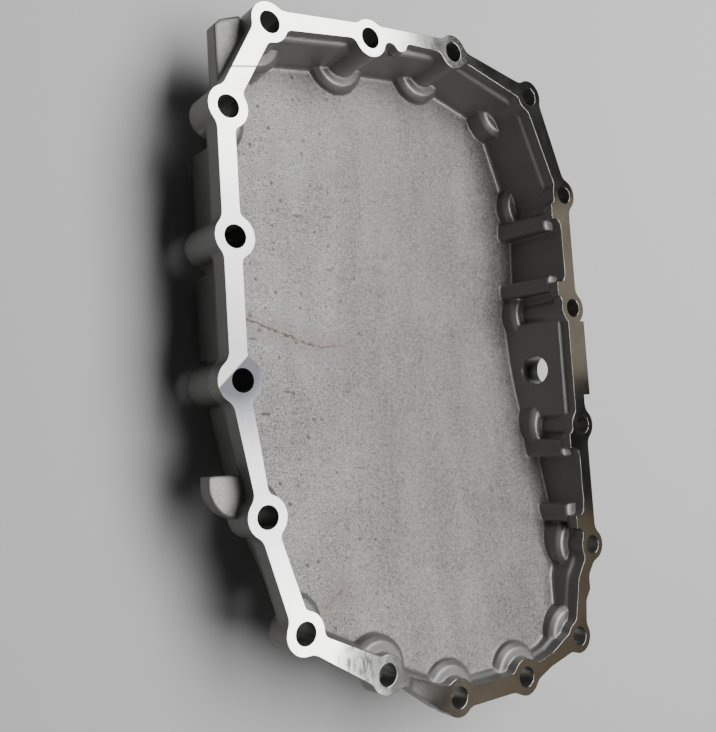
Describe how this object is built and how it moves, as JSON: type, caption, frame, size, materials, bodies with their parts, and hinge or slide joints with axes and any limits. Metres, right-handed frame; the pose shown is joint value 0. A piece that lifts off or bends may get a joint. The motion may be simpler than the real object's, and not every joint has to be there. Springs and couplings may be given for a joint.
{
  "type": "transmission case",
  "caption": "Shallow cast transmission case section with an open, machined joint face, bolt lobes round its edge, ribbed side wall, round side port and closed ribbed back.",
  "frame": {"origin": "middle of the underside of the part's bounding box, on the back ribs' lowest point", "axes": "+Z out of the open side, square to the joint face; +Y along the long side, towards the wide deep end; +X towards the wall with the side port"},
  "size_m": [0.2079, 0.3018, 0.0431],
  "materials": {
    "cast_aluminium": "as-cast die-cast aluminium, the joint face milled bright"
  },
  "bodies": {
    "root": {"case": "cast_aluminium"}
  },
  "joints": []
}
